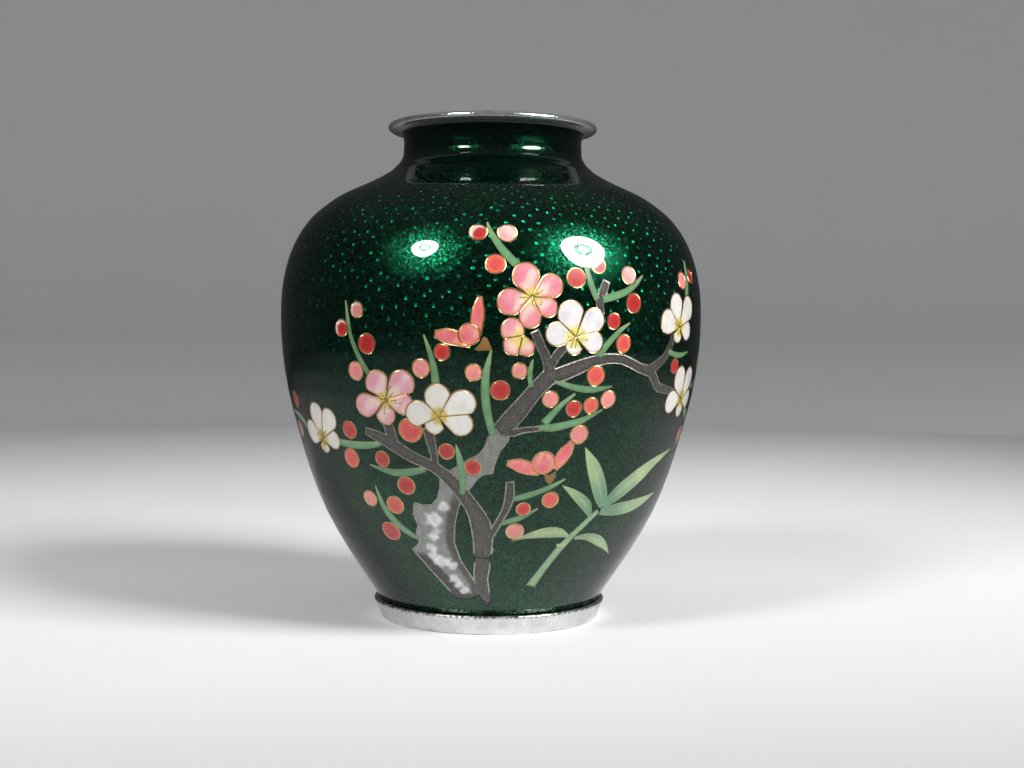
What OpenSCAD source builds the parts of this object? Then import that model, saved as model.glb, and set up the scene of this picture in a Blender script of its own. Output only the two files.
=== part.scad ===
/* [Size] */
// Height of the vase from the table to the top of the rim ring; every other size is scaled with it
vase_height = 185; // [120:5:260]

/* [Layers] */
// Depth of the green ground enamel and of every cell and wire in it
ground_t = 1.2; // [0.8:0.1:1.4]
// Depth of the embossed silver foil under the enamel
foil_t = 0.15; // [0.1:0.05:0.2]
// Thickness of the spun copper body
copper_t = 1.0; // [0.8:0.1:1.1]
// Depth of the enamel inside the vase
inner_t = 0.6; // [0.4:0.1:0.7]

/* [Wires] */
// Width of the cloison wires that stand round the cells
wire_w = 0.45; // [0.3:0.05:0.6]

/* [Rings] */
// Outer radius of the rim ring
rim_r = 39.4; // [38.5:0.1:40.5]
// Radius of the mouth inside the rim ring
mouth_r = 30.3; // [29:0.1:30.5]
// Outer radius of the foot ring where it stands on the table
foot_r = 41.1; // [40.5:0.1:42]
// Height of the foot ring
foot_h = 7.0; // [6:0.5:9]

/* [Base] */
// Height of the underside of the copper base, up inside the foot
base_z = 6.0; // [4:0.5:9]

/* [Hidden] */

design_height = 185;
seam_z = 100;
round_fn = 96;
wide = 300;

// Height and radius of the outer surface, from the foot to the neck
profile = [
    [1.2, 38.0], [12, 44.6], [25, 53.2], [40, 61.7], [55, 67.7], [70, 72.2], [85, 76.1],
    [100, 78.4], [113, 79.0], [124, 78.4], [134, 76.2], [142, 72.8], [149, 67.9],
    [154, 62.2], [158, 56.1], [162, 47.6], [167, 38.6], [173, 33.8], [182.4, 33.9]
];
knots = len(profile);
low_z = profile[0][0];
high_z = profile[knots - 1][0];

// Places on the wall are [azimuth, height]: azimuth 0 faces the front, positive to the right.
// Buds: azimuth, height, radius over the wire
red_buds = [
    [-39.9, 108.2, 3.1], [-31.9, 103.0, 3.6], [-41.2, 73.4, 3.4], [-31.2, 64.0, 3.0],
    [-24.7, 55.1, 3.4], [-34.2, 38.1, 3.8], [-68.5, 82.5, 3.2], [-11.8, 100.6, 2.9],
    [-11.7, 67.5, 2.9], [-4.7, 62.1, 2.9], [2.3, 88.2, 3.4], [21.5, 82.1, 3.0],
    [10.0, 47.7, 2.6], [-3.5, 139.9, 3.1], [20.9, 125.4, 3.5], [27.2, 129.8, 3.0],
    [37.4, 117.4, 3.5], [31.2, 111.3, 2.9], [66.0, 127.8, 2.9], [55.8, 95.9, 2.9],
    [80.5, 87.0, 2.8]
];
coral_buds = [
    [-42.7, 63.5, 3.7], [-29.8, 47.9, 3.5], [0.9, 129.5, 3.5], [26.3, 83.1, 3.0],
    [26.8, 93.1, 3.6], [18.0, 50.8, 3.1], [34.4, 103.8, 3.3], [-21.3, 74.4, 4.4]
];
pink_buds = [
    [-34.8, 114.3, 2.9], [-35.8, 93.8, 3.4], [-17.2, 95.2, 3.3], [-39.0, 49.5, 3.1],
    [-72.0, 71.5, 3.4], [-4.2, 94.0, 3.0], [6.9, 94.7, 2.8], [15.0, 85.3, 3.0],
    [24.0, 73.3, 3.5], [8.0, 39.7, 3.2], [3.9, 139.7, 3.4], [36.3, 126.7, 3.3],
    [31.2, 85.1, 3.2], [59.4, 126.0, 3.4], [79.0, 97.0, 3.1], [73.0, 70.2, 3.6]
];

// Blossoms: place of the centre, then each petal's direction, distance to its round end's
// centre, and radius of that end. The petals are listed anticlockwise.
blossoms = [
    [[9.6, 118.8], [[-95, 6.5, 3.5], [-31, 6.3, 3.1], [30, 7.5, 3.8], [105, 7.1, 4.3],
        [193, 7.2, 4.2]]],
    [[7.5, 106.3], [[153, 3.8, 3.7], [227, 4.3, 3.2], [288, 4.3, 2.5]]],
    [[20.7, 105.8], [[-100, 2.6, 3.0], [-13, 6.9, 3.3], [41, 8.7, 3.8], [104, 7.6, 4.5],
        [171, 6.6, 3.8]]],
    [[56.5, 109.5], [[-108, 2.6, 2.8], [-9, 6.6, 3.4], [42, 10.2, 4.3], [105, 7.9, 4.2],
        [166, 8.0, 4.2]]],
    [[63.5, 84.0], [[-70, 3.8, 3.0], [-2, 8.0, 3.2], [54, 8.9, 4.3], [120, 8.6, 4.4],
        [186, 8.2, 4.0]]],
    [[-27.4, 84.3], [[-99, 5.1, 3.4], [-10, 6.2, 3.6], [41, 8.6, 4.4], [117, 6.0, 4.6],
        [194, 8.7, 3.9]]],
    [[-13.2, 79.3], [[-120, 3.4, 3.0], [-20, 7.7, 3.8], [29, 9.3, 4.3], [91, 6.6, 4.2],
        [174, 7.0, 4.3]]],
    [[-54.8, 69.3], [[-80, 2.2, 2.8], [0, 7.0, 3.3], [46, 10.3, 3.9], [93, 8.9, 4.3],
        [162, 7.1, 4.3]]]
];

// Blossoms seen from the side: the round front petal, then the long ones as
// azimuth, height and half width along each
side_blossoms = [
    [[-5.2, 106.5, 3.8], [
        [[-3.7, 107.0, 1.5], [-3.4, 110.5, 1.9], [-3.1, 114.5, 1.8], [-2.8, 118.5, 0.5]],
        [[-5.0, 103.9, 1.5], [-8.2, 105.2, 2.1], [-11.0, 106.0, 2.1], [-13.4, 106.5, 0.7]]
    ]],
    [[14.7, 63.8, 4.2], [
        [[13.5, 61.2, 1.5], [10.5, 62.0, 2.1], [7.5, 63.2, 2.0], [4.9, 63.7, 0.6]],
        [[18.0, 62.0, 1.0], [19.4, 64.8, 2.0], [21.0, 67.8, 2.0], [22.2, 70.5, 0.6]]
    ]]
];
sepals = [
    [[-4.0, 101.6], [-2.6, 103.6], [-1.9, 105.7], [-1.0, 105.4], [0.1, 102.2], [0.2, 101.3],
        [-3.0, 101.1]],
    [[14.9, 59.9], [16.8, 59.6], [18.5, 60.8], [18.7, 58.9], [17.3, 56.1], [15.9, 57.3]]
];

// Young green shoots: azimuth, height and half width, from the root to the tip
shoots = [
    [[-31.5, 92.5, 1.0], [-33.2, 95.7, 1.0], [-35.2, 100.5, 0.9], [-36.9, 106, 0.8],
        [-37.7, 112, 0.8], [-38.4, 117.5, 0.3]],
    [[-13.5, 88, 1.4], [-13.7, 93, 1.3], [-14.3, 98, 1.0], [-15.3, 102.5, 0.7],
        [-16.3, 106.3, 0.3]],
    [[0.7, 73.2, 1.2], [-0.3, 78, 1.3], [-1.1, 83, 1.4], [-1.4, 89, 1.4], [-1.1, 94.5, 1.2],
        [0.1, 101.5, 0.3]],
    [[10.0, 89.3, 0.8], [9.5, 92.3, 0.8], [9.6, 95.5, 0.8], [10.1, 98.4, 0.2]],
    [[6.6, 128.7, 1.4], [4.0, 132.0, 1.4], [1.5, 136.2, 1.2], [-0.3, 140.0, 0.9],
        [-1.3, 143.4, 0.3]],
    [[26.4, 118.3, 1.1], [25.0, 122.5, 1.1], [24.0, 127.5, 0.9], [23.4, 133.5, 0.5]],
    [[28.0, 118.4, 1.3], [32.0, 119.8, 1.3], [35.5, 121.5, 1.1], [38.5, 124.0, 0.9],
        [41.0, 126.9, 0.3]],
    [[27.0, 99.6, 1.3], [28.5, 102.0, 1.2], [30.7, 105.2, 1.1], [33.5, 108.5, 0.8],
        [36.2, 110.7, 0.3]],
    [[15.7, 91.2, 0.5], [18.5, 90.1, 0.9], [22.0, 88.9, 1.1], [26.5, 88.4, 1.1], [32.0, 89.4, 0.3]],
    [[13.8, 77.2, 1.4], [15.8, 80.2, 1.2], [18.3, 83.8, 0.9], [21.5, 87.1, 0.4]],
    [[12.4, 75.8, 0.9], [16.0, 75.7, 1.4], [20.0, 76.7, 1.3], [24.5, 78.2, 1.1], [29.9, 81.6, 0.3]],
    [[61.3, 119.5, 1.6], [62.0, 123.5, 1.5], [62.9, 128.0, 1.2], [63.7, 133.3, 0.5]],
    [[51.7, 101.0, 0.8], [55.0, 100.0, 1.0], [59.0, 99.8, 0.9], [63.4, 100.9, 0.2]],
    [[-31.0, 69.2, 0.9], [-35.5, 68.5, 1.3], [-41.0, 68.3, 1.4], [-47.5, 68.9, 1.1]],
    [[-18.0, 61.2, 1.0], [-23.0, 59.9, 1.4], [-28.5, 59.5, 1.3], [-36.0, 61.7, 0.3]],
    [[-23.8, 36.0, 0.8], [-28.0, 38.6, 1.3], [-31.7, 42.3, 1.4], [-34.4, 47.3, 1.2],
        [-35.6, 54.5, 0.2]],
    [[-8.0, 52.8, 0.9], [-7.6, 57.0, 1.3], [-7.9, 62.0, 1.3], [-8.4, 66.0, 1.0], [-9.1, 70.1, 0.2]],
    [[6.7, 51.3, 0.9], [10.0, 52.2, 1.2], [14.0, 53.7, 1.0], [18.0, 55.6, 0.9], [21.7, 58.0, 0.3]],
    [[3.7, 42.6, 0.8], [7.0, 43.7, 1.1], [10.5, 45.2, 0.9], [14.5, 47.9, 0.3]],
    [[69.5, 80.2, 1.3], [74.0, 77.8, 1.5], [79.0, 76.3, 1.3], [86.0, 76.2, 0.3]],
    [[71.5, 87.6, 0.9], [76.0, 89.6, 1.0], [82.0, 91.8, 0.3]],
    [[-63.0, 72.5, 1.1], [-67.5, 76.2, 1.2], [-73.5, 77.8, 0.8], [-82.0, 78.3, 0.2]]
];

// Dark branches and twigs, in the same form
branches = [
    [[2.0, 74.6, 2.0], [4.8, 78.0, 2.9], [8.0, 83.0, 2.7], [11.0, 88.2, 2.4], [14.3, 92.8, 2.6]],
    [[13.5, 92.0, 2.0], [18.0, 94.0, 2.2], [24.0, 97.1, 1.8], [29.5, 98.8, 1.4], [35.0, 98.4, 1.3],
        [40.5, 95.6, 1.3], [45.5, 94.2, 1.7]],
    [[14.4, 93.0, 1.9], [13.9, 97.5, 1.4], [12.2, 102.0, 1.2], [10.4, 107.5, 1.1]],
    [[14.6, 96.5, 1.3], [16.0, 99.8, 1.2], [18.2, 103.5, 1.2]],
    [[44.5, 94.8, 1.6], [49.5, 98.3, 1.2], [52.0, 102.0, 1.2], [53.8, 106.5, 1.2]],
    [[44.8, 94.4, 1.5], [47.2, 91.0, 1.4], [49.2, 88.6, 1.3], [57.0, 86.8, 0.9]],
    [[27.3, 114.0, 1.1], [27.1, 117.5, 1.1], [27.9, 120.5, 1.3], [29.1, 124.3, 1.0]],
    [[3.6, 73.9, 0.9], [6.0, 74.2, 1.0], [8.5, 75.0, 0.7], [12.8, 75.5, 0.6]],
    [[-2.6, 30.0, 2.4], [-2.2, 36.0, 2.9], [-2.9, 42.5, 3.0], [-5.5, 49.0, 2.1], [-10.5, 56.8, 2.0],
        [-15.5, 62.0, 1.6], [-22.0, 65.4, 1.7], [-28.5, 70.2, 2.0], [-35.0, 73.4, 1.0]],
    [[-15.3, 61.5, 1.0], [-15.2, 66.0, 0.9], [-15.8, 70.0, 1.3], [-16.3, 75.0, 1.5]],
    [[-27.0, 69.5, 1.9], [-27.2, 73.0, 1.6], [-27.9, 77.0, 1.6]],
    [[-0.6, 36.5, 0.9], [2.0, 41.5, 0.9], [4.5, 47.0, 0.9], [5.7, 52.0, 1.3], [5.6, 57.0, 1.0]]
];

// Old trunks, as outlines
trunks = [
    [[-14.0, 14.0], [-20.0, 21.2], [-24.0, 27.0], [-27.4, 31.8], [-24.2, 34.2], [-23.5, 36.0],
        [-24.2, 38.3], [-22.9, 41.0], [-23.8, 45.0], [-22.8, 49.0], [-20.3, 48.4], [-17.4, 48.6],
        [-15.2, 51.2], [-14.1, 55.0], [-13.9, 59.5], [-10.5, 61.0], [-6.0, 64.6], [-3.0, 66.5],
        [-1.4, 68.8], [-0.4, 72.5], [2.2, 75.2], [4.6, 74.2], [4.6, 71.6], [2.5, 68.0], [1.2, 64.0],
        [0.5, 60.4], [-1.8, 60.0], [-3.6, 58.5], [-6.4, 54.0], [-9.2, 49.0], [-11.0, 42.5],
        [-11.9, 35.5],
        [-10.4, 28.5], [-7.0, 22.5], [-4.0, 17.0], [-8.0, 14.0]],
    [[-0.9, 11.4], [-3.6, 14.6], [-5.4, 19.0], [-5.6, 23.0], [-5.0, 29.0], [-4.8, 33.0],
        [1.0, 33.0],
        [0.0, 30.0], [-0.1, 26.0], [-0.9, 22.0], [-0.3, 17.0], [0.8, 13.4]]
];

// Bamboo: one jointed stem and its leaves, in the form of the shoots
bamboo_stem = [
    [[17.1, 18.7, 1.8], [20.4, 25.0, 1.5], [24.0, 31.5, 1.5], [28.0, 37.2, 1.3], [31.5, 41.3, 1.2],
        [35.6, 45.8, 1.0]],
    [[25.5, 33.6, 0.8], [24.3, 33.9, 0.8], [23.2, 34.2, 0.6]]
];
bamboo_leaves = [
    [[37.0, 47.3, 1.3], [35.6, 50.5, 2.6], [33.2, 55.5, 3.0], [30.4, 61.3, 2.6], [28.4, 65.0, 1.6],
        [26.4, 68.8, 0.1]],
    [[37.2, 47.6, 1.2], [41.5, 51.5, 3.0], [46.5, 55.3, 3.3], [52.0, 59.0, 2.9], [58.0, 62.5, 1.6],
        [67.0, 65.7, 0.1]],
    [[36.6, 45.5, 1.3], [42.0, 45.7, 2.4], [48.0, 46.0, 2.6], [54.0, 46.8, 2.3], [60.0, 48.3, 1.2],
        [65.0, 50.0, 0.1]],
    [[32.9, 44.0, 0.6], [30.7, 47.9, 2.0], [27.5, 50.9, 1.9], [24.2, 53.5, 1.2], [21.0, 55.8, 0.1]],
    [[26.8, 37.1, 0.5], [23.2, 38.6, 1.9], [19.0, 39.0, 2.2], [15.0, 38.5, 1.7], [11.0, 37.5, 0.8],
        [7.1, 36.2, 0.1]],
    [[29.5, 36.2, 0.6], [33.5, 36.6, 1.3], [38.0, 35.5, 1.9], [42.0, 33.7, 1.8], [46.0, 31.4, 1.0],
        [50.5, 28.4, 0.1]]
];

// ---- The wall as a curve -------------------------------------------------

// Slope of the curve at knot i
function knot_slope(i) =
    let (a = profile[max(0, i - 1)], b = profile[min(knots - 1, i + 1)])
    (b[1] - a[1]) / (b[0] - a[0]);

// Number of the span that holds height z
function span_of(z, i = 0) = (i >= knots - 2 || z < profile[i + 1][0]) ? i : span_of(z, i + 1);

// Radius of the outer surface at height z, a smooth curve through the knots
function wall_r(z) =
    let (
        i = span_of(z),
        a = profile[i],
        b = profile[i + 1],
        h = b[0] - a[0],
        t = (z - a[0]) / h
    )
    a[1] * (1 + 2 * t) * pow(1 - t, 2)
        + b[1] * t * t * (3 - 2 * t)
        + h * knot_slope(i) * t * pow(1 - t, 2)
        - h * knot_slope(i + 1) * t * t * (1 - t);

// How fast that radius grows with height
function wall_slope(z) =
    let (a = max(low_z, z - 0.2), b = min(high_z, z + 0.2))
    (wall_r(b) - wall_r(a)) / (b - a);

// Radius and height of the point that lies depth inside the wall at height z
function inside_point(z, depth) =
    let (s = wall_slope(z), d = depth / sqrt(1 + s * s))
    [wall_r(z) - d, z + d * s];

// The end of a layer is flat, so its radius follows the wall's slope there
function end_point(z, depth) = [wall_r(z) - depth * sqrt(1 + pow(wall_slope(z), 2)), z];

// The wall's curve at a depth, from the foot to the neck
function skin(depth) = concat(
    [end_point(low_z, depth)],
    [for (i = [0:knots - 2], t = [0, 0.5])
        let (z = profile[i][0] * (1 - t) + profile[i + 1][0] * t)
        if (z > low_z) inside_point(z, depth)],
    [end_point(high_z, depth)]
);

function reversed(list) = [for (i = [len(list) - 1:-1:0]) list[i]];

// ---- Places on the wall --------------------------------------------------

function wall_point(place) =
    let (r = wall_r(place[1]))
    [r * sin(place[0]), -r * cos(place[0]), place[1]];

// Unit directions along the wall at a place: to the right and upwards
function rightwards(place) = [cos(place[0]), sin(place[0]), 0];
function upwards(place) =
    let (s = wall_slope(place[1]))
    [s * sin(place[0]), -s * cos(place[0]), 1] / sqrt(1 + s * s);

// A place as x and y on the plane that touches the wall at c
function flat(c, place) =
    let (d = wall_point(place) - wall_point(c))
    [d * rightwards(c), d * upwards(c)];

function middle(path) =
    let (first = path[0], last = path[len(path) - 1])
    [(first[0] + last[0]) / 2, (first[1] + last[1]) / 2];

// Smooth curve through the rows of a path, with one extra row between each two
function smooth(path) = concat(
    [for (i = [0:len(path) - 2], t = [0, 0.5])
        let (
            a = path[max(0, i - 1)],
            b = path[i],
            c = path[i + 1],
            d = path[min(len(path) - 1, i + 2)]
        )
        b + (c - a) * t / 2
            + (2 * a - 5 * b + 4 * c - d) * pow(t, 2) / 2
            + (3 * b - a - 3 * c + d) * pow(t, 3) / 2],
    [path[len(path) - 1]]
);

function unit(v) = v / norm(v);

// Outline of a ribbon along a path of azimuth, height and half width, grown by a margin
function ribbon(c, path, grow) =
    let (
        rows = smooth(path),
        last = len(rows) - 1,
        line = [for (row = rows) flat(c, row)],
        along = [for (i = [0:last]) unit(line[min(last, i + 1)] - line[max(0, i - 1)])],
        centre = [for (i = [0:last])
            line[i] + along[i] * grow * ((i == last ? 1 : 0) - (i == 0 ? 1 : 0))],
        across = [for (i = [0:last]) [-along[i][1], along[i][0]] * (rows[i][2] + grow)]
    )
    concat([for (i = [0:last]) centre[i] - across[i]], [for (i = [last:-1:0]) centre[i] + across[i]]);

// An outline moved outwards by a margin; it runs clockwise
function grown(outline, grow) =
    let (n = len(outline))
    [for (i = [0:n - 1])
        let (
            a = unit(outline[i] - outline[(i + n - 1) % n]),
            b = unit(outline[(i + 1) % n] - outline[i]),
            m = unit([-a[1] - b[1], a[0] + b[0]]),
            stretch = min(2, 1 / max(0.5, m * [-a[1], a[0]]))
        )
        outline[i] + m * grow * stretch];

// Part of an outline on the near side of the line n * p = limit
function clipped(outline, n, limit) =
    [for (i = [0:len(outline) - 1])
        let (
            a = outline[i],
            b = outline[(i + 1) % len(outline)],
            da = a * n - limit,
            db = b * n - limit
        )
        each [
            if (da <= 0) a,
            if ((da < 0 && db > 0) || (da > 0 && db < 0)) a + (b - a) * da / (da - db)
        ]];

// Drop-shaped petal: a round end, and straight sides that run in to the blossom's centre
petal_steps = 14;
function drop(petal, grow) =
    let (
        away = [cos(petal[0]), sin(petal[0])],
        r = petal[2] + grow,
        reach = max(petal[1], 0.01),
        half = reach > petal[2] ? 180 - acos(petal[2] / reach) : 180 - 180 / petal_steps
    )
    concat(
        reach > petal[2] ? [-away * grow] : [],
        [for (i = [0:petal_steps])
            let (a = petal[0] - half + 2 * half * i / petal_steps)
            away * reach + r * [cos(a), sin(a)]]
    );

// A petal stops half way to the next one on each side; margin is the gap it leaves there
function petal_outline(petals, i, grow, margin) =
    let (
        n = len(petals),
        here = petals[i][0],
        after = petals[(i + 1) % n][0] + (i == n - 1 ? 360 : 0),
        before = petals[(i + n - 1) % n][0] - (i == 0 ? 360 : 0),
        a = (here + after) / 2,
        b = (here + before) / 2,
        cut_after = after - here < 170,
        cut_before = here - before < 170,
        whole = drop(petals[i], grow),
        first = cut_after ? clipped(whole, [-sin(a), cos(a)], -margin) : whole
    )
    cut_before ? clipped(first, [sin(b), -cos(b)], -margin) : first;

// ---- Solids that cut through the enamel ----------------------------------

punch_in = 9;
punch_out = 3;

module on_wall(place) {
    rotate([0, 0, place[0]])
        translate([0, -wall_r(place[1]), place[1]])
            rotate([90 + atan(wall_slope(place[1])), 0, 0])
                children();
}

module punch(place, outline) {
    on_wall(place)
        translate([0, 0, -punch_in])
            linear_extrude(punch_in + punch_out)
                polygon(outline);
}

module round_punch(buds, grow) {
    for (bud = buds)
        on_wall(bud)
            translate([0, 0, -punch_in])
                cylinder(r = bud[2] - wire_w + grow, h = punch_in + punch_out, $fn = 32);
}

module ribbon_punch(paths, grow) {
    for (path = paths)
        punch(middle(path), ribbon(middle(path), path, grow));
}

module patch_punch(outlines, grow) {
    for (outline = outlines) {
        c = middle([outline[0], outline[floor(len(outline) / 2)]]);
        points = [for (place = outline) flat(c, place)];
        punch(c, grow > 0 ? grown(points, grow) : points);
    }
}

// The petals leave a gap of one wire between them, which the grown ones fill
module blossom_punch(i, grow) {
    blossom = blossoms[i - 1];
    for (j = [0:len(blossom[1]) - 1])
        punch(blossom[0], petal_outline(blossom[1], j, grow, grow > 0 ? -0.02 : wire_w / 2));
}

module front_petal_punch(i, grow) {
    round_punch([side_blossoms[i - 1][0]], grow);
}

module long_petal_punch(i, grow) {
    ribbon_punch(side_blossoms[i - 1][1], grow);
}

// Everything that stands in front of a cell, with its wires
module bud_cutters() {
    round_punch(concat(red_buds, coral_buds, pink_buds), wire_w);
}

module blossom_cutters() {
    for (i = [1:8])
        blossom_punch(i, wire_w);
    for (i = [1:2]) {
        front_petal_punch(i, wire_w);
        long_petal_punch(i, wire_w);
    }
    patch_punch(sepals, 0);
}

module shoot_cutters() {
    ribbon_punch(shoots, 0);
}

module branch_cutters() {
    ribbon_punch(branches, wire_w);
}

// ---- Body ----------------------------------------------------------------

module sized() {
    scale(vase_height / design_height)
        children();
}

module layer(from, to) {
    rotate_extrude($fn = round_fn)
        polygon(concat(skin(from), reversed(skin(to))));
}

module filled(depth) {
    rotate_extrude($fn = round_fn)
        polygon(concat([[0, low_z]], skin(depth), [[0, high_z]]));
}

module slab(from, to) {
    translate([0, 0, from])
        cylinder(r = wide / 2, h = to - from, $fn = round_fn);
}

foil_depth = ground_t + foil_t;
copper_depth = foil_depth + copper_t;
inner_depth = copper_depth + inner_t;
base_top = base_z + copper_t;

module copper_upper_body() {
    color("#b87333")
        intersection() {
            layer(foil_depth, copper_depth);
            slab(seam_z, design_height);
        }
}

module copper_lower_body() {
    color("#b06a2c")
        intersection() {
            layer(foil_depth, copper_depth);
            slab(0, seam_z);
        }
}

module copper_base() {
    color("#b87333")
        intersection() {
            filled(copper_depth);
            slab(base_z, base_top);
        }
}

module silver_foil() {
    color("#d8dcdc")
        layer(ground_t, foil_depth);
}

module inner_enamel() {
    color("#0d3b2e")
        difference() {
            intersection() {
                filled(copper_depth);
                slab(base_top, design_height);
            }
            intersection() {
                filled(inner_depth);
                slab(base_top + inner_t, design_height);
            }
        }
}

module base_enamel() {
    color("#12302a")
        intersection() {
            filled(copper_depth);
            slab(base_z - inner_t, base_z);
        }
}

module ground_enamel() {
    color("#0e4a38")
        difference() {
            layer(0, ground_t);
            bud_cutters();
            blossom_cutters();
            shoot_cutters();
            branch_cutters();
            patch_punch(trunks, wire_w);
            ribbon_punch(bamboo_stem, 0);
            ribbon_punch(bamboo_leaves, 0);
        }
}

// Rim ring: a skirt down inside the neck, a flat top and a rolled edge whose lip turns in
// below, round the end of the neck. The corners of the edge are given as the distance in
// from its widest point and the distance down from its top.
skirt_bottom = 176.5;
skirt_t = 0.5;
mouth_corner = [[0, 0.9], [0.3, 0.3], [1.0, 0]];
rolled_edge = [[1.0, 0], [0.4, 0.25], [0.05, 0.8], [0, 1.4], [0.3, 2.0], [1.4, 2.7]];
// Radius and height of the lip's corners below the edge, and of the gap over the neck
lip = [[36.2, 181.85], [34.5, 181.6], [34.2, 181.7]];
gap_roof = 182.7;

module rim_ring() {
    neck_r = end_point(high_z, 0)[0];
    color("#c9cccc")
        rotate_extrude($fn = round_fn)
            polygon(concat(
                [[mouth_r, skirt_bottom]],
                [for (c = mouth_corner) [mouth_r + c[0], design_height - c[1]]],
                [for (c = rolled_edge) [rim_r - c[0], design_height - c[1]]],
                lip,
                [[lip[2][0], gap_roof], [neck_r, gap_roof], [neck_r, high_z]],
                [[mouth_r + skirt_t, high_z], [mouth_r + skirt_t, skirt_bottom]]
            ));
}

// Foot ring: a flange that the body stands on, and a tapered band round it. The corners of
// the band's lip are given as the distance in from its widest point and down from its top.
flange_r = 35.2;
foot_flare = 2.6;
foot_bevel = 0.3;
band_foot = 0.8;
foot_lip = [[0.3, 0.9], [0, 0.4], [0.2, 0], [1.9, 0], [2.2, 0.6]];

module foot_ring() {
    color("#d2d2cf")
        rotate_extrude($fn = round_fn)
            polygon(concat(
                [[flange_r, 0], [foot_r - foot_bevel, 0], [foot_r, foot_bevel]],
                [for (c = foot_lip) [foot_r + foot_flare - c[0], foot_h - c[1]]],
                [[foot_r - band_foot, low_z], [flange_r, low_z]]
            ));
}

// ---- Cells and wires -----------------------------------------------------

// Children cut to the depth of the ground enamel, so that they lie flush with it
module inlaid() {
    intersection() {
        layer(0, ground_t);
        children();
    }
}

module bud_cells(buds, hue) {
    color(hue)
        inlaid()
            round_punch(buds, 0);
}

module coral_bud_enamel() {
    color("#d4503c")
        inlaid()
            difference() {
                round_punch(coral_buds, 0);
                blossom_punch(7, wire_w);
            }
}

module bud_wire() {
    color("#c8a25a")
        inlaid()
            difference() {
                bud_cutters();
                round_punch(concat(red_buds, coral_buds, pink_buds), 0);
                blossom_punch(7, wire_w);
            }
}

// The first blossom lies over the second
module blossom_petals(i) {
    hue = (i <= 2 || i == 6) ? "#ec8f96" : "#eeece8";
    color(hue)
        inlaid()
            difference() {
                blossom_punch(i, 0);
                if (i == 2)
                    blossom_punch(1, wire_w);
                if (i == 6)
                    blossom_punch(7, wire_w);
            }
}

module blossom_wire(i) {
    color("#c8a25a")
        inlaid()
            difference() {
                blossom_punch(i, wire_w);
                blossom_punch(i, 0);
                if (i == 2)
                    blossom_punch(1, wire_w);
                if (i == 6)
                    blossom_punch(7, wire_w);
            }
}

module side_blossom_petals(i) {
    color("#e8808a")
        inlaid()
            union() {
                front_petal_punch(i, 0);
                difference() {
                    long_petal_punch(i, 0);
                    front_petal_punch(i, wire_w);
                }
            }
}

module side_blossom_wire(i) {
    color("#c8a25a")
        inlaid()
            union() {
                difference() {
                    front_petal_punch(i, wire_w);
                    front_petal_punch(i, 0);
                }
                difference() {
                    long_petal_punch(i, wire_w);
                    long_petal_punch(i, 0);
                    front_petal_punch(i, wire_w);
                }
            }
}

module sepal_enamel() {
    color("#9a6a2a")
        inlaid()
            difference() {
                patch_punch(sepals, 0);
                for (i = [1:2]) {
                    front_petal_punch(i, wire_w);
                    long_petal_punch(i, wire_w);
                }
            }
}

module shoot_enamel() {
    color("#7fae7d")
        inlaid()
            difference() {
                shoot_cutters();
                bud_cutters();
                blossom_cutters();
            }
}

module branch_enamel() {
    color("#4c4a46")
        inlaid()
            difference() {
                ribbon_punch(branches, 0);
                bud_cutters();
                blossom_cutters();
                shoot_cutters();
            }
}

module branch_wire() {
    color("#a79f92")
        inlaid()
            difference() {
                branch_cutters();
                ribbon_punch(branches, 0);
                bud_cutters();
                blossom_cutters();
                shoot_cutters();
            }
}

module trunk_enamel() {
    color("#9a9b96")
        inlaid()
            difference() {
                patch_punch(trunks, 0);
                bud_cutters();
                shoot_cutters();
                branch_cutters();
            }
}

module trunk_wire() {
    color("#a79f92")
        inlaid()
            difference() {
                patch_punch(trunks, wire_w);
                patch_punch(trunks, 0);
                bud_cutters();
                shoot_cutters();
                branch_cutters();
            }
}

module bamboo_stem_enamel() {
    color("#9cb58f")
        inlaid()
            difference() {
                ribbon_punch(bamboo_stem, 0);
                ribbon_punch(bamboo_leaves, 0);
            }
}

module bamboo_leaf_enamel() {
    color("#9dbb88")
        inlaid()
            difference() {
                ribbon_punch(bamboo_leaves, 0);
                bud_cutters();
            }
}

sized() copper_upper_body();
sized() copper_lower_body();
sized() copper_base();
sized() silver_foil();
sized() ground_enamel();
sized() inner_enamel();
sized() base_enamel();
sized() rim_ring();
sized() foot_ring();
sized() trunk_enamel();
sized() trunk_wire();
sized() branch_enamel();
sized() branch_wire();
sized() shoot_enamel();
sized() bamboo_stem_enamel();
sized() bamboo_leaf_enamel();
sized() sepal_enamel();
sized() bud_cells(red_buds, "#a81e22");  // red_bud_enamel
sized() coral_bud_enamel();
sized() bud_cells(pink_buds, "#e79a9c");  // pink_bud_enamel
sized() bud_wire();
for (i = [1:8])
    sized() blossom_petals(i);
for (i = [1:8])
    sized() blossom_wire(i);
for (i = [1:2])
    sized() side_blossom_petals(i);
for (i = [1:2])
    sized() side_blossom_wire(i);
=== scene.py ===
import math

import bmesh
import bpy
import numpy as np
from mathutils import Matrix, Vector
from mathutils.geometry import delaunay_2d_cdt


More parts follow.
